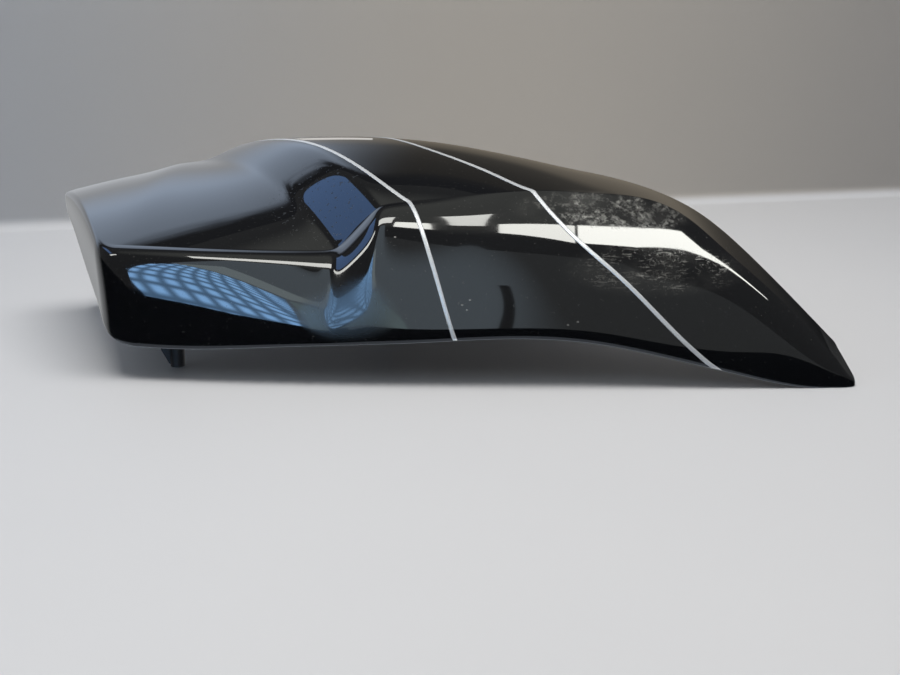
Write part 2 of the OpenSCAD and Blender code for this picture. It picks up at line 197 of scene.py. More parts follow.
# Plan of the crown: straight from crease to far edge in each column, drawn out to the two ends' own lines
def crownPlan(column, row):
    v = across(row)
    start, end = nearAt(0.0), farAt(0.0)
    leftGap = sideLine(start, panel["nearCorner"], panel["farCorner"], end, v) - lerp(start, end, v[..., None])
    start, end = nearAt(lastColumn), farAt(lastColumn)
    way = unit(start - nearAt(lastColumn - 1))
    part = v[..., None]
    cap = sweep(start, start + way * panel["tipRound"], end + tipWay * panel["tipRound"], end, part)
    rightGap = cap - lerp(start, end, part)
    left = np.maximum(0, 1 - column / panel["leftFade"])[:, None, None] ** 2
    right = np.maximum(0, 1 - (lastColumn - column) / panel["rightFade"])[:, None, None] ** 2
    body = lerp(nearAt(column)[:, None], farAt(column)[:, None], part)
    return body + left * leftGap + right * rightGap


# Wall at x: even, then a smooth step down to the tip's own wall
def wallAt(x):
    return lerp(panel["wall"], panel["tipWall"], ease(x, *panel["thinning"]))


# Part of the rim's full size at x: a smooth step from 1 down to its part at the tip, where the wall thins
def rimPart(x):
    return lerp(1, panel["tipRim"], ease(x, *panel["thinning"]))


# Crown's points: the height field, lowered by the wall over the cosine of its slope on the inner skin
def crownPoints(plan, skin):
    x, y = plan[..., 0], plan[..., 1]
    dx = (crownZ(x + 1, y) - crownZ(x - 1, y)) / 2
    dy = (crownZ(x, y + 1) - crownZ(x, y - 1)) / 2
    return np.stack([x, y, crownZ(x, y) - skin * wallAt(x) * np.sqrt(1 + dx * dx + dy * dy)], -1)


# Four control points of the skirt's profile under each point of the crown's edge, for one skin:
# the shoulder's leg runs out from the edge, the upright's leg rises from the hem, both moved in by the wall
def skirtLegs(edge, top, out, hem, shoulder, upright, skin):
    depth = (skin * wallAt(edge[:, 0]))[:, None]
    way = (hem - edge)[:, :2]
    reach = (way * out).sum(-1)
    aside = way - reach[:, None] * out
    q0 = np.zeros((len(edge), 2))
    q3 = np.stack([reach, hem[:, 2] - edge[:, 2]], -1)
    q1, q2 = shoulder, q3 + np.stack([0 * reach, upright], -1)

    # unit vector square to the leg from a to b
    def left(a, b):
        u = unit(b - a)
        return np.stack([-u[:, 1], u[:, 0]], -1)

    # mitre of the legs' two normals m and n: (m + n) / (1 + m.n), held short where the legs fold back
    def mitre(a, b, c):
        m, n = left(a, b), left(b, c)
        return (m + n) / np.maximum(1 + (m * n).sum(-1, keepdims=True), 0.8)

    # profile point c, [out, up], set at the edge and moved aside by its part of the hem's own lag
    def place(c, part):
        return np.concatenate([edge[:, :2] + out * c[:, :1] + aside * part, edge[:, 2:] + c[:, 1:]], -1)

    inward = np.stack([depth[:, 0], 0 * depth[:, 0]], -1)
    return (top, place(q1 - depth * mitre(q0, q1, q2), 0), place(q2 - depth * mitre(q1, q2, q3), 1),
            place(q3 - inward, 1))


# Grid of quads over index rows: one quad between each four neighbours, turned over if asked
def quads(index, turned=False):
    a, b, c, d = index[:-1, :-1], index[1:, :-1], index[1:, 1:], index[:-1, 1:]
    order = (a, d, c, b) if turned else (a, b, c, d)
    return np.stack([corner.ravel() for corner in order], -1)


# Points moved towards the mean of their neighbours, rounds times, each by its own weight
def relax(points, faces, weight, rounds):
    pairs = np.concatenate([faces[:, [0, 1]], faces[:, [1, 2]], faces[:, [2, 3]], faces[:, [3, 0]]])
    a, b = np.concatenate([pairs, pairs[:, ::-1]]).T
    count = np.bincount(a, minlength=len(points))[:, None]
    for turn in range(rounds):
        mean = np.stack([np.bincount(a, points[b, k], len(points)) for k in range(3)], -1) / count
        points = points + (mean - points) * weight[:, None]
    return points


# Mesh object from points in millimetres and faces, with the drawing's zero point moved to the part's own
def pieceFrom(name, points, faces, materials, slots=None):
    made = bpy.data.meshes.new(name)
    made.from_pydata(((points - middle) * mm).tolist(), [], faces.tolist() if hasattr(faces, "tolist") else faces)
    made.polygons.foreach_set("use_smooth", np.ones(len(made.polygons), bool))
    for material in materials:
        made.materials.append(material)
    if slots is not None:
        made.polygons.foreach_set("material_index", slots)
    made.update()
    piece = bpy.data.objects.new(name, made)
    bpy.context.scene.collection.objects.link(piece)
    return piece


# The two skins and the hem between them, as one closed surface. The crown is crownPoints over crownPlan; the band
# round it is skirtLegs' cubic at steps down, in rows of outer skirt, hem and inner skirt.
def shellSurface():
    column = np.linspace(0, lastColumn, mesh["columns"] + 1)
    row = panel["rows"] * crowded(np.linspace(0, 1, mesh["across"] + 1))
    plan = crownPlan(column, row)
    outer, inner = crownPoints(plan, 0), crownPoints(plan, 1)
    rows, cols = len(row), len(column)

    # the grid's four edges as one loop: near, pointed end, far, left
    def around(grid):
        return np.concatenate([grid[:, 0], grid[-1, 1:-1], grid[::-1, -1], grid[0, -2:0:-1]])

    edge, top = around(outer), around(inner)
    v = around(np.broadcast_to(across(row), (cols, rows)))
    lower = around(np.broadcast_to(column[:, None], (cols, rows)))
    k = np.arange(len(edge))
    farStart, leftStart = cols - 1 + rows - 1, 2 * (cols - 1) + rows - 1
    onNear, onTip = k < cols, (k >= cols) & (k < farStart)
    onLeft = k > leftStart
    x, z = edge[:, 0], edge[:, 2]

    # out: square to the edge in plan, straight forward along the crease and turning evenly round the pointed end
    back = np.maximum(k - 1, farStart)
    along = edge[(k + 1) % len(edge)] - edge[np.where(k < farStart, k - 1, back)]
    turn = np.radians(lerp(-90, np.degrees(np.arctan2(tipWay[0], -tipWay[1])), v))
    out = np.stack([along[:, 1], -along[:, 0]], -1)
    out[onTip] = np.stack([np.cos(turn), np.sin(turn)], -1)[onTip]
    out[onNear] = (0, -1)
    out = unit(out)

    hemX = columnX[2](lower)
    hemNear = np.stack([hemX, curve["hemY"](hemX), np.maximum(curve["hemZ"](hemX), 0)], -1)
    part = rimPart(x)
    outward = edge[:, :2] + out * (panel["rimReach"] * panel["rimOverhang"] * part)[:, None]
    hemFar = np.concatenate([outward, np.maximum(z - panel["rimDrop"], 0)[:, None]], -1)
    leftLine = sideLine(hemNear[0, :2], panel["nearFoot"], panel["farFoot"], hemFar[leftStart, :2], v)
    hemLeft = np.concatenate([leftLine, curve["sideZ"](leftLine[:, 1])[:, None]], -1)
    a, b = hemNear[cols - 1], hemFar[farStart]
    tipHem = np.array([b[0] + panel["tipHemBack"], b[1] - panel["tipHemBack"], 0])
    hemTip = sweep(a, a + (panel["tipHemOut"], 0, 0), tipHem, b, v[:, None])
    hem = np.where(onNear[:, None], hemNear, np.where(onTip[:, None], hemTip,
                   np.where(onLeft[:, None], hemLeft, hemFar)))

    dip = np.radians(curve["dip"](x))
    shoulderNear = curve["reach"](x)[:, None] * np.stack([np.cos(dip), -np.sin(dip)], -1)
    back = edge[:, :2] - out
    slope = np.clip(crownZ(x, edge[:, 1]) - crownZ(back[:, 0], back[:, 1]), -panel["rimSlope"], panel["rimSlope"])
    shoulderRim = (panel["rimReach"] * part)[:, None] * np.stack([np.ones_like(slope), slope], -1)
    corner = 1 - ease(v, 0, panel["cornerFade"])
    share = np.where(onNear, 1, np.where(onTip, 1 - v, np.where(onLeft, corner, 0)))  # 1 is flank, 0 is rim
    shoulder = lerp(shoulderRim, shoulderNear, share[:, None])
    upright = (z - hem[:, 2]) * lerp(panel["rimRise"], curve["flankRise"](x), share)

    # steps down the skirt, closer together at the crease
    down = (np.linspace(0, 1, mesh["down"] + 1) ** mesh["downCrowding"])[None, :, None]
    down = lerp(down, np.sin(down * np.pi / 2), mesh["downSlowing"])
    skirts = []
    for skin, under in ((0, edge), (1, top)):
        legs = skirtLegs(edge, under, out, hem, shoulder, upright, skin)
        skirts.append(sweep(*[leg[:, None] for leg in legs], down))
    rim = lerp(skirts[0][:, -1:], skirts[1][:, -1:], np.linspace(0, 1, mesh["rim"] + 1)[None, 1:-1, None])
    band = np.concatenate([skirts[0][:, 1:], rim, skirts[1][:, :0:-1]], 1)

    crownIndex = np.arange(cols * rows).reshape(cols, rows)
    loop = around(crownIndex)
    inside = crownIndex + crownIndex.size
    bandIndex = np.arange(band.shape[0] * band.shape[1]).reshape(band.shape[:2]) + 2 * crownIndex.size
    bandIndex = np.column_stack([loop, bandIndex, loop + crownIndex.size])
    bandIndex = np.concatenate([bandIndex, bandIndex[:1]])
    points = np.concatenate([outer.reshape(-1, 3), inner.reshape(-1, 3), band.reshape(-1, 3)])
    faces = [quads(crownIndex), quads(bandIndex, True), quads(inside, True)]
    raw = [np.zeros(len(faces[0]), int), np.tile(np.arange(bandIndex.shape[1] - 1) >= mesh["down"] + 1, len(loop)),
           np.ones(len(faces[2]), int)]
    faces, raw = np.concatenate(faces), np.concatenate(raw).astype(int)

    # edges rounded: the crease takes more rounds than the hem
    near = np.zeros(len(points))
    apart = np.minimum(np.minimum(np.arange(rows), rows - 1 - np.arange(rows))[None],
                       np.minimum(np.arange(cols), cols - 1 - np.arange(cols))[:, None])
    near[crownIndex] = near[inside] = np.exp(-(apart / mesh["creaseBend"]) ** 2)
    step = np.arange(bandIndex.shape[1])
    last = step[-1]
    fade = np.exp(-(np.minimum(step, last - step) / mesh["creaseBend"]) ** 2)
    near[bandIndex[:-1]] = fade[None]
    points = relax(points, faces, mesh["pull"] * near, mesh["creaseRounds"])
    hemRow = np.minimum(abs(step - mesh["down"]), abs(step - mesh["down"] - mesh["rim"]))
    near[:] = 0
    near[bandIndex[:-1]] = (hemRow <= mesh["hemBend"])[None]
    points = relax(points, faces, mesh["pull"] * near, mesh["hemRounds"])
    front = bandIndex[:cols, 1:mesh["down"] + 1]
    skin = np.concatenate([points[front[:, ::-1]], points[crownIndex]], 1)
    rowAt = np.concatenate([-panel["skirtRows"] * down[0, :0:-1, 0], row])
    return points, faces, raw, skin, rowAt, column


shellPoints, shellFaces, shellRaw, skin, skinRow, skinColumn = shellSurface()
middle = np.array([3.549, -0.813, 0])  # of the panel's outline, which is the part's own zero point
print("shell worked out:", len(shellFaces), "quads, drawing's zero point moved by", middle.round(3))


# A shader value: formulas on it become Math nodes, and node() makes any other node from it
class Shade:
    def __init__(self, tree, socket=None):
        self.tree, self.socket = tree, socket

    # A node of any kind: its settings first, then the values or links of its sockets
    def node(self, kind, settings=None, inputs=None, out=0):
        made = self.tree.nodes.new(kind)
        for name, value in (settings or {}).items():
            setattr(made, name, value)
        for name, value in (inputs or {}).items():
            if isinstance(value, Shade):
                self.tree.links.new(value.socket, made.inputs[name])
            else:
                made.inputs[name].default_value = value
        return Shade(self.tree, made.outputs[out])

    # A Math node of that operation on two values
    def math(self, operation, first, second=0.0):
        return self.node("ShaderNodeMath", {"operation": operation}, {0: first, 1: second})

    # Each operator adds one Math node
    def __add__(self, other):
        return self.math("ADD", self, other)

    def __sub__(self, other):
        return self.math("SUBTRACT", self, other)

    def __rsub__(self, other):
        return self.math("SUBTRACT", other, self)

    def __mul__(self, other):
        return self.math("MULTIPLY", self, other)

    def __truediv__(self, other):
        return self.math("DIVIDE", self, other)

    def __pow__(self, other):
        return self.math("POWER", self, other)

    __radd__, __rmul__ = __add__, __mul__

    # The value's X, Y and Z, as three values
    def axes(self):
        parts = self.node("ShaderNodeSeparateXYZ", None, {"Vector": self})
        return [Shade(self.tree, socket) for socket in parts.socket.node.outputs]

    # Saw that rises and falls between 0 and 1, once each step
    def saw(self, step):
        return self.math("PINGPONG", self, step / 2) * (2 / step)

    # Smooth step of the value from low to high
    def between(self, low, high):
        return self.node("ShaderNodeMapRange", {"interpolation_type": "SMOOTHSTEP"},
                         {"Value": self, "From Min": low, "From Max": high})

    # Noise between about 0 and 1, with scale as its lumps in a metre
    def noise(self, place, scale, detail=4.0, rough=0.55):
        return self.node("ShaderNodeTexNoise", None,
                         {"Vector": place, "Scale": scale, "Detail": detail, "Roughness": rough}, "Fac")

    # Colour that goes from one to the other as the value goes from 0 to 1
    def colour(self, first, second):
        made = self.tree.nodes.new("ShaderNodeMix")
        made.data_type = "RGBA"
        for name, value in (("Factor_Float", self), ("A_Color", first), ("B_Color", second)):
            socket = next(s for s in made.inputs if s.identifier == name)
            if isinstance(value, Shade):
                self.tree.links.new(value.socket, socket)
            else:
                socket.default_value = value if name == "Factor_Float" else (*value, 1)
        return Shade(self.tree, next(s for s in made.outputs if s.identifier == "Result_Color"))


# Material whose Principled shader takes the constants and what the recipe works out from the place
def finish(name, constants, recipe=None):
    made = bpy.data.materials.new(name)
    made.use_nodes = True
    tree = made.node_tree
    shader = tree.nodes["Principled BSDF"]
    values = dict(constants)
    if recipe:
        start = Shade(tree)
        values.update(recipe(start, start.node("ShaderNodeTexCoord", out="Object")))
    for key, value in values.items():
        if isinstance(value, Shade):
            tree.links.new(value.socket, shader.inputs[key])
        else:
            shader.inputs[key].default_value = value
    return made


# Black gloss paint: deep and even, with fine dust, a few nicks and two scuffed patches near the pointed end.
# A patch is a place, its reach along each axis in metres and, where it scuffs, how strong it is.
paint = {
    "colour": (0.0045, 0.005, 0.006), "roughness": 0.027, "scuff": (0.24, 0.235, 0.215),
    "rubbed": ((0.104, -0.057, 0.095), (0.046, 0.013, 0.012), 0.55),
    "scratched": ((0.128, -0.078, 0.064), (0.044, 0.020, 0.012), 0.4),
    "strokes": (140, 500, 900),  # how close the fine scratches lie along each axis
    "hazy": ((-0.043, -0.089, 0.043), (0.023, 0.025, 0.019)),  # dull gloss on the flank below the ramp
    "spotted": ((-0.062, -0.03, 0.092), (0.03, 0.035, 0.03)),  # dried drops on the ramp
    "lumps": {"mottle": 380, "cloud": 80, "fine": 520, "breaks": 90, "dust": 750, "haze": 40, "drops": 520,
              "sheen": 9},  # of each noise, in a metre
    "amounts": {"dust": 0.13, "nick": 0.6, "haze": 0.11, "drops": 0.5, "dull": 0.27, "sheen": 0.015, "worn": 0.5},
    "nick": (0.0007, 0.0007, 0.0005),  # a nick's reach
    "nicks": [(0.0226, -0.0926, 0.0445), (0.0199, -0.0918, 0.0472), (0.0785, -0.0951, 0.0366),
              (0.084, -0.0949, 0.0383), (0.0243, -0.0911, 0.0498), (-0.0176, -0.0747, 0.0821)],
}


# 1 inside an ellipsoid about a place, fading to 0 at its edge: the sum of squares of the place over the sizes
def patch(x, y, z, at, size, soft=0.6):
    away = ((x - at[0]) / size[0]) ** 2 + ((y - at[1]) / size[1]) ** 2 + ((z - at[2]) / size[2]) ** 2
    return 1 - away.between(1 - soft, 1 + soft)


# Wear is a sum of patches, each times its own noise, held at 1: it lightens the paint and takes its gloss
def glossPaint(start, place):
    lumps, amounts = paint["lumps"], paint["amounts"]
    x, y, z = place.axes()
    at, size, strength = paint["rubbed"]
    mottle = start.noise(place, lumps["mottle"], 9, 0.75).between(0.44, 0.64)
    mottle = mottle * start.noise(place, lumps["cloud"], 4).between(0.40, 0.60)
    rubbed = patch(x, y, z, at, size) * mottle * strength
    at, size, strength = paint["scratched"]
    drawn = start.node("ShaderNodeVectorMath", {"operation": "MULTIPLY"}, {0: place, 1: paint["strokes"]}, "Vector")
    fine = start.noise(drawn, 1, 5, 0.6).between(0.54, 0.66)
    fine = fine + start.noise(place, lumps["fine"], 5, 0.7).between(0.54, 0.66)
    breaks = start.noise(place, lumps["breaks"], 2).between(0.35, 0.58)
    scratched = patch(x, y, z, at, size) * fine * breaks * strength
    dust = start.noise(place, lumps["dust"], 2, 0.4).between(0.70, 0.76) * amounts["dust"]
    for nick in paint["nicks"]:
        dust = dust + patch(x, y, z, nick, paint["nick"]) * amounts["nick"]
    haze = patch(x, y, z, *paint["rubbed"][:2], 0.8) + patch(x, y, z, *paint["scratched"][:2], 0.8) * 0.7
    haze = haze * start.noise(place, lumps["haze"], 4).between(0.3, 0.6) * amounts["haze"]
    total = rubbed + scratched + dust + haze
    worn = total.math("MINIMUM", total, 1.0)
    drops = start.noise(place, lumps["drops"], 1, 0.3).between(0.67, 0.70) * amounts["drops"]
    spots = patch(x, y, z, *paint["spotted"]) * drops + patch(x, y, z, *paint["hazy"], 0.8) * amounts["dull"]
    sheen = start.noise(place, lumps["sheen"], 2) * amounts["sheen"] + paint["roughness"]
    return {"Base Color": worn.colour(paint["colour"], paint["scuff"]),
            "Roughness": sheen + worn * amounts["worn"] + spots}


glossBlack = finish("gloss_black_paint", {"Coat Weight": 0.6, "Coat Roughness": 0.02, "IOR": 1.5}, glossPaint)


# Bare moulding inside: satin black with a fine grain
def bareGrain(start, place):
    grain = start.noise(place, 1400, 3)
    bump = start.node("ShaderNodeBump", None, {"Strength": 0.15, "Distance": 0.0003, "Height": grain}, "Normal")
    return {"Roughness": start.noise(place, 60, 3) * 0.15 + 0.42, "Normal": bump}


bareBlack = finish("bare_black_moulding", {"Base Color": (0.016, 0.016, 0.017, 1)}, bareGrain)


# Silver vinyl: satin, a little uneven
def tapeSheen(start, place):
    return {"Roughness": start.noise(place, 300, 3) * 0.12 + 0.24}


silverTape = finish("silver_vinyl_tape", {"Base Color": (0.62, 0.64, 0.66, 1), "Metallic": 0.25}, tapeSheen)

shell = pieceFrom("moulded_shell", shellPoints, shellFaces, [glossBlack, bareBlack], shellRaw)
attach(shell, "root")
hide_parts("side_panel")
print("shell made")

# Screw posts under the shell: where each stands, and where its widest web points
post = {
    "places": {"front_screw_post": (-144, -53, 180), "left_screw_post": (-184, 50, 0), "far_screw_post": (-26, 44, 90)},
    "radius": 4.3, "hole": 1.75, "holeDepth": 14, "web": 2.2, "edge": 0.35, "seat": 0.6,  # seat: part of the wall
    "wideWeb": [[1, 3.5], [2, 5], [10, 9.3], [40, 13]],  # height, distance from the post's middle
    "narrowWeb": [[14, 3.5], [22, 6], [40, 8]],
}


# A post as one grid: its outline is a circle with four webs, which slide out along their own direction
# as the height grows; the rows run from the hole's end down its wall, round the foot and up to the shell
def screwPost(name, x, y, turn):
    half = post["web"] / 2
    corner = np.degrees(np.arcsin(half / post["radius"]))
    tuck = post["radius"] * np.cos(np.radians(corner))
    angle, slide = [], []
    for quarter in range(4):
        base = 90 * quarter
        angle += [base - corner, base - corner + 0.01, base - corner * 0.8, base, base + corner * 0.8,
                  base + corner - 0.01, base + corner]
        slide += [0, 1, 1, 1, 1, 1, 0]
        between = np.linspace(base + corner, base + 90 - corner, 8)[1:-1]
        angle += list(between)
        slide += [0] * len(between)
    angle, slide = np.radians(angle), np.array(slide)
    arm = np.repeat(np.arange(4), len(angle) // 4)
    ring = np.stack([np.cos(angle), np.sin(angle)], -1)
    armWay = np.stack([np.cos(np.pi / 2 * arm), np.sin(np.pi / 2 * arm)], -1)

    # the circle's points, with those of each web moved along its arm to the web's length at this height
    def outline(height):
        wide, narrow = [np.interp(height, *np.array(post[key], float).T) for key in ("wideWeb", "narrowWeb")]
        length = np.where(arm == 0, wide, narrow)
        lift = np.maximum(length - tuck, 0) * (height > np.where(arm == 0, post["wideWeb"][0][0],
                                                                 post["narrowWeb"][0][0]))
        return ring * post["radius"] + armWay * (slide * lift)[:, None]

    heights = [0.35, 1, 1.4, 2, 4, 7, 10, 13.9, 14.1, 16, 19, 22, 28, 34, 40, 46]
    deep = post["holeDepth"]
    rows = [(0.05, deep), (post["hole"], deep), (post["hole"], deep / 2), (post["hole"], post["edge"]),
            (post["hole"] + post["edge"], 0), (post["radius"] - post["edge"], 0)]  # radius, height
    grid = [np.column_stack([ring * r, np.full(len(ring), float(h))]) for r, h in rows]
    grid += [np.column_stack([outline(h), np.full(len(ring), float(h))]) for h in heights]
    top = outline(heights[-1])
    tilt = np.radians(turn)
    spin = np.array([[np.cos(tilt), np.sin(tilt)], [-np.sin(tilt), np.cos(tilt)]])
    plan = top @ spin + (x, y)
    roof = crownZ(plan[:, 0], plan[:, 1]) - wallAt(plan[:, 0]) * post["seat"]
    grid.append(np.column_stack([top, roof]))
    grid.append(np.column_stack([top * 0.02, np.full(len(top), roof.mean())]))
    points = np.array(grid)
    points[..., :2] = points[..., :2] @ spin + (x, y)
    index = np.arange(points.shape[0] * points.shape[1]).reshape(points.shape[:2])
    index = np.column_stack([index, index[:, 0]])
    faces = quads(index, True).tolist() + [index[0, :-1].tolist(), index[-1, -2::-1].tolist()]
    made = pieceFrom(name, points.reshape(-1, 3), faces, [bareBlack])
    made.data.polygons.foreach_set("use_smooth", np.zeros(len(faces), bool))
    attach(made, "root")
    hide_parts("side_panel")


for name, (x, y, turn) in post["places"].items():
    screwPost(name, x, y, turn)
print("screw posts made")

# Pinstripes: vinyl tape along a run of [row, column] over the outer skin
stripe = {
    "width": 2.4, "height": 0.14, "sunk": 0.06, "steps": 220, "cuts": 5,
    "runs": {
        "front_pinstripe_tape": ("front_pinstripe",
            [[-8, 30.4], [-5.1, 28.65], [-3.5, 27.6], [-1.2, 26.2], [0, 25.5], [2, 24.5], [3.75, 23.95],
             [6.1, 24], [12, 25]]),
        "rear_pinstripe_tape": ("rear_pinstripe",
            [[-8, 49.8], [-6.9, 46.6], [-5.6, 43.4], [-4.1, 40.2], [-2.15, 37.15], [-0.75, 35.8],
             [1, 34.8], [3.1, 33.7], [5, 32.1], [7, 31.7], [12, 31.5]]),
    },
}


# Point of the outer skin at a column and a row, between the four nearest points of its grid
def onSkin(column, row):
    i = np.clip(np.interp(column, skinColumn, np.arange(len(skinColumn))), 0, len(skinColumn) - 1.001)
    j = np.clip(np.interp(row, skinRow, np.arange(len(skinRow))), 0, len(skinRow) - 1.001)
    a, b = i.astype(int), j.astype(int)
    s, t = (i - a)[..., None], (j - b)[..., None]
    return lerp(lerp(skin[a, b], skin[a + 1, b], s), lerp(skin[a, b + 1], skin[a + 1, b + 1], s), t)


# Tape: a run of cuts across the line, each cut square to it in the skin, raised by the tape's height
def tape(name, node, run):
    track = spline(run)
    row = np.linspace(run[0][0], run[-1][0], stripe["steps"] + 1)
    line = onSkin(track(row), row)
    gone = np.r_[0, np.cumsum(np.linalg.norm(np.diff(line, axis=0), axis=1))]
    row = np.interp(np.linspace(0, gone[-1], stripe["steps"] + 1), gone, row)  # even steps along the line
    column = track(row)
    line = onSkin(column, row)
    along = unit(np.gradient(line, axis=0))
    aside = onSkin(column + 0.5, row) - onSkin(column - 0.5, row)
    normal = unit(np.cross(aside, along))
    square = 1 / np.linalg.norm(np.cross(aside, along), axis=-1)
    cut = np.linspace(-0.5, 0.5, stripe["cuts"]) * stripe["width"]
    low = onSkin(column[:, None] + cut * square[:, None], row[:, None] + 0 * cut)
    up, down = low + normal[:, None] * stripe["height"], low - normal[:, None] * stripe["sunk"]
    ring = np.concatenate([up, down[:, ::-1]], 1)
    index = np.arange(ring.shape[0] * ring.shape[1]).reshape(ring.shape[:2])
    index = np.column_stack([index, index[:, 0]])
    faces = quads(index, True).tolist() + [index[0, :-1].tolist(), index[-1, -2::-1].tolist()]
    made = pieceFrom(name, ring.reshape(-1, 3), faces, [silverTape])
    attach(made, "root")
    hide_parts(node)


for name, (node, run) in stripe["runs"].items():
    tape(name, node, run)
print("pinstripes laid")

# Floor and backdrop: one sheet, flat under the part and turned up behind it along a slanting line
floor = {
    "front": -0.62, "back": 0.435, "skew": 0.222, "bend": 0.012, "high": 0.42, "half": 2.2,
    "colour": (0.62, 0.62, 0.63), "roughness": 0.6,
    # the wall's three tones are painted light and shade: cool and pale at the left, warm and brightest in the middle,
    # dark at the right
    "wall": [(0.45, 0.455, 0.47), (0.49, 0.455, 0.41), (0.385, 0.365, 0.345)],  # left, middle, right
}


# Pale floor with a faint random cloud and painted shade that darkens it away from the middle, and a greyer wall where
# the sheet has turned up, painted in tones of light and shade from left to right
def floorPaint(start, place):
    x, z = place.axes()[::2]
    cloud = start.noise(place, 2.5, 3, 0.6)
    up = z.between(0.002, 0.010)
    # painted shade: the floor and wall are darkened towards the sides, away from the middle
    edge = x.math("ABSOLUTE", x).between(0.02, 0.5) * 0.75
    cloudAndPaintedShade = (cloud * 0.4 + edge).colour((1, 1, 1), (0.86, 0.87, 0.89))
    # painted light and shade across the wall, blended from its left, middle and right tones
    left, mid, right = floor["wall"]
    wall = x.between(0.1, 0.65).colour(x.between(-0.5, 0.05).colour(left, mid), right)
    plain = up.colour(floor["colour"], wall)
    tint = start.node("ShaderNodeVectorMath", {"operation": "MULTIPLY"}, {0: plain, 1: cloudAndPaintedShade}, "Vector")
    return {"Base Color": tint}


# Sheet's profile: a straight run, a quarter circle and a straight rise, carried along X
def sweepSheet():
    turn = np.linspace(0, np.pi / 2, 12)
    x = np.linspace(-floor["half"], floor["half"], 3)[:, None]
    back = floor["back"] + floor["skew"] * x
    y = np.concatenate([0 * x + floor["front"], back + floor["bend"] * np.sin(turn), back + floor["bend"]], 1)
    z = np.r_[0, floor["bend"] * (1 - np.cos(turn)), floor["high"]] + 0 * x
    points = np.stack([x + 0 * y, y, z], -1)
    index = np.arange(points.shape[0] * points.shape[1]).reshape(points.shape[:2])
    made = bpy.data.meshes.new("pale_floor")
    made.from_pydata(points.reshape(-1, 3).tolist(), [], quads(index).tolist())
    made.materials.append(finish("pale_sheet", {"Roughness": floor["roughness"]}, floorPaint))
    sheet = bpy.data.objects.new("pale_floor", made)
    sheet.visible_glossy = False  # the grey boxes stand for it in the gloss
    bpy.context.scene.collection.objects.link(sheet)


sweepSheet()

# Camera: place in the part's frame, tilt from straight down, lens and the photograph's middle
view = {"place": (0.01321, -0.81128, 0.230), "tilt": 76, "lens": 53.6, "shiftY": -0.0428}
eye = bpy.data.cameras.new("camera")
eye.sensor_width, eye.lens, eye.shift_y = 36, view["lens"], view["shiftY"]
camera = bpy.data.objects.new("camera", eye)
camera.location = view["place"]
camera.rotation_euler = (np.radians(view["tilt"]), 0, 0)
bpy.context.scene.collection.objects.link(camera)
bpy.context.scene.camera = camera

# Light boxes that the gloss mirrors, and that light nothing else: corners in metres, colour, brightness and, where
# a box has one, its recipe. The lamp row hangs over the part, and cool and grey panels stand round it.
boxes = {
    "lamp_row_end": ([(-1.75, -0.62, 1.5), (-0.8, -0.4, 1.5), (-0.8, -0.52, 1.5), (-1.75, -0.82, 1.5)],
                     (1, 1, 0.95), 9, None),
    "lamp_row_left": ([(-0.44, -0.2, 1.5), (0.088, -0.2, 1.5), (0.088, -0.41, 1.5), (-0.44, -0.42, 1.5)],
                      (1, 1, 0.95), 9, None),
    "lamp_row_middle": ([(0.108, -0.38, 1.5), (0.338, -0.35, 1.5), (0.338, -0.6, 1.5), (0.108, -0.53, 1.5)],
                        (1, 1, 0.94), 12, None),
    "lamp_row_right": ([(0.35, -0.34, 1.5), (0.62, -0.27, 1.5), (0.77, -0.19, 1.5), (0.84, -0.29, 1.5),
                        (1.45, -0.4, 1.5), (1.45, -0.43, 1.5), (0.95, -0.37, 1.5), (0.76, -0.42, 1.5),
                        (0.62, -0.545, 1.5), (0.35, -0.59, 1.5)], (1, 1, 0.94), 14, None),
    "cool_grid": ([(-1.05, -2, -0.04), (-0.75, -2, -0.05), (-0.5, -2, 0.03), (-0.38, -2, 0.75), (-0.75, -2, 1.75),
                   (-1.0, -2, 2.3), (-1.08, -2, 1.9)], (0.30, 0.58, 1), 9, "grid"),
    "cool_grid_head": ([(-1.0, -2, 2.36), (-0.75, -2, 1.81), (-0.36, -2, 0.78), (-0.24, -2, 0.9), (-0.66, -2, 2.6)],
                       (0.8, 0.95, 1), 1.9, None),
    "cool_grid_side": ([(-0.48, -2, 0.0), (-0.2, -2, -0.1), (-0.2, -2, 0.78), (-0.37, -2, 0.74)],
                       (0.72, 0.95, 1), 1.4, None),
    "grey_front": ([(-1.1, -2.1, 2.6), (-0.45, -2.1, -0.1), (1.3, -2.1, -0.1), (1.3, -2.1, 3.6), (0.14, -2.1, 3.7),
                    (0.14, -2.1, 7), (-1.1, -2.1, 7)], (0.74, 0.88, 1), 1.0, "soft edge"),
    "dark_bar": ([(0.03, -2.05, -0.1), (0.07, -2.05, -0.1), (0.075, -2.05, 1.5), (0.04, -2.05, 1.5)],
                 (1, 1, 1), 0.1, None),
    "cool_side": ([(-1.5, -0.45, 1.43), (-1.5, 0.55, 1.43), (-1.5, 0.55, 2.1), (-1.5, -0.45, 2.1)],
                  (0.28, 0.5, 1), 1.9, None),
    "pale_strip": ([(-0.18, 0.69, 0.18), (-0.07, 0.69, 0.18), (-0.07, 0.69, 0.26), (-0.18, 0.69, 0.26)],
                   (1, 0.97, 0.93), 0.95, None),
    "grey_back": ([(-3.2, 0.7, 0), (1.2, 0.7, 0), (1.2, 0.7, 1.7), (-3.2, 0.7, 1.7)],
                  (0.88, 1.05, 1.32), 1, "fade"),
}


# Cells of the cool grid: its left end, height there, how fast its top comes down, steps and light between cells
grid = {"left": -1.02, "high": 1.62, "lean": 2.1, "columnStep": 0.078, "rowStep": 0.23, "between": 0.28}


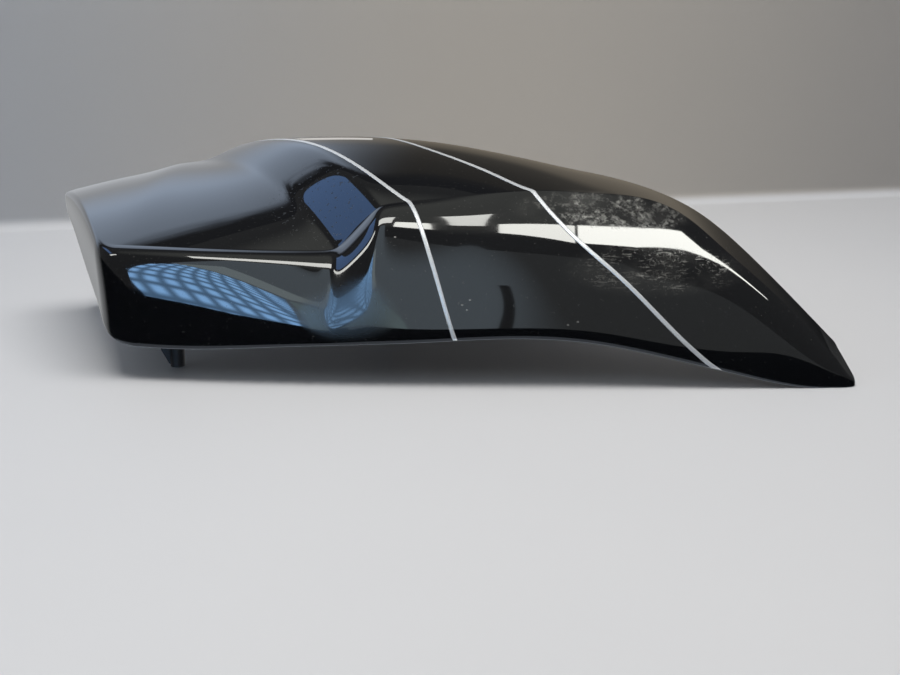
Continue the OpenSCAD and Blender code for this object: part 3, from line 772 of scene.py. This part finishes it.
# Glow of a box over its plane: "grid" is soft cells, the product of a saw along X and one along the leaning rows;
# "soft edge" is dimmer beyond an edge; "fade" is cool at the left and warm and dim at the right, with a ragged top
def boxGlow(start, place, look, colour):
    x, z = place.axes()[::2]
    if look == "grid":
        rows = z / (grid["high"] - (x - grid["left"]) * grid["lean"])
        cells = x.saw(grid["columnStep"]).between(0.0, 0.8) * rows.saw(grid["rowStep"]).between(0.0, 0.75)
        return (cells * (1 - grid["between"]) + grid["between"]).colour((0, 0, 0), colour)
    if look == "soft edge":
        return x.between(-0.02, 0.27).colour(colour, (0.26, 0.27, 0.27))
    top = (start.noise(place, 3.2, 3) - 0.5) * 0.7 + z
    cool = z.between(0.22, 0.55).colour((0.5, 0.52, 0.55), colour)
    cool = x.between(-2.4, -1.1).colour((0.27, 0.28, 0.3), cool)
    warm = z.between(0.3, 0.46).colour((0.2, 0.175, 0.14), (0.11, 0.1, 0.085))
    warm = x.between(0.3, 0.7).colour(warm, (0.03, 0.03, 0.03))
    wide = x.between(-0.38, 0.02).colour(cool, warm)
    return (1 - top.between(0.95, 1.4)).colour((0.05, 0.05, 0.055), wide)


# Flat box front, one face over its corners, that glows for the gloss alone
def lightBox(name, corners, colour, glow, look):
    # the box's glow, as what the material works out from the place
    def recipe(start, place):
        return {"Emission Color": boxGlow(start, place, look, colour)}

    values = {"Base Color": (0, 0, 0, 1), "Specular IOR Level": 0.0, "Emission Strength": glow,
              "Emission Color": (*colour, 1)}
    made = bpy.data.meshes.new(name)
    made.from_pydata(corners, [], [list(range(len(corners)))])
    made.materials.append(finish(name, values, recipe if look else None))
    box = bpy.data.objects.new(name, made)
    box.visible_diffuse = False
    box.visible_camera = False
    box.visible_shadow = False
    bpy.context.scene.collection.objects.link(box)


for name, row in boxes.items():
    lightBox(name, *row)

# Flag behind the part, unseen: it keeps the wall's light from under the shell
flag = bpy.data.meshes.new("flag")
flag.from_pydata([(-0.236, 0.086, 0), (-0.1, 0.1, 0), (0.1, 0.045, 0), (0.1, 0.045, 0.06), (-0.1, 0.1, 0.07),
                  (-0.236, 0.086, 0.06)], [], [[0, 1, 4, 5], [1, 2, 3, 4]])
flag.materials.append(finish("flag_cloth", {"Base Color": (0.01, 0.01, 0.01, 1), "Roughness": 0.9}))
holder = bpy.data.objects.new("flag", flag)
holder.visible_camera = False
holder.visible_glossy = False
bpy.context.scene.collection.objects.link(holder)

# Soft lamps for the floor's light and the shadow, which the gloss doesn't mirror: place, aim, sizes, power, colour
lamps = {
    "top_soft": ((0.15, -0.25, 1.7), (0.05, 0.05, 0), 1.6, 0.8, 28.5, (1, 0.985, 0.955)),
    "cool_fill": ((-1.7, -0.9, 1.0), (0, 0, 0.03), 0.8, 0.8, 3.5, (0.68, 0.84, 1)),
}
for name, (place, aim, wide, high, power, colour) in lamps.items():
    lamp = bpy.data.lights.new(name, "AREA")
    lamp.shape, lamp.size, lamp.size_y = "RECTANGLE", wide, high
    lamp.energy, lamp.color = power, colour
    holder = bpy.data.objects.new(name, lamp)
    holder.location = place
    way = holder.location.copy()
    way.xyz = np.array(place) - np.array(aim)
    holder.rotation_euler = way.to_track_quat("Z", "Y").to_euler()
    holder.visible_glossy = False
    bpy.context.scene.collection.objects.link(holder)

# World: soft grey light from above on what is matt. In the gloss it is a dim room, dark below the floor's level,
# and pale again straight down, where the hem mirrors the floor.
room = {"light": (0.32, 0.325, 0.335), "low": (0.03, 0.032, 0.036), "mirrored": (0.12, 0.12, 0.12),
        "high": (0.42, 0.43, 0.40), "below": (0.004, 0.004, 0.005), "down": (0.45, 0.5, 0.58),
        "behind": (0.42, 0.43, 0.44)}
world = bpy.data.worlds.new("studio")
bpy.context.scene.world = world
world.use_nodes = True
start = Shade(world.node_tree)
back, up = start.node("ShaderNodeTexCoord", out="Generated").axes()[1:]
down = up.between(-0.62, -0.5).colour(room["down"], room["below"])
under = (back.between(0.15, 0.5) * up.between(-0.5, -0.25)).colour(down, room["behind"])
above = up.between(0.93, 0.985).colour(room["mirrored"], room["high"])
seen = up.between(-0.02, 0.03).colour(under, above)
cast = up.between(0.15, 0.6).colour(room["low"], room["light"])
gloss = start.node("ShaderNodeLightPath", out="Is Glossy Ray")
start.tree.links.new(gloss.colour(cast, seen).socket, start.tree.nodes["Background"].inputs["Color"])
bpy.context.scene.view_settings.view_transform = "Standard"
print("stage, lamps and camera set")
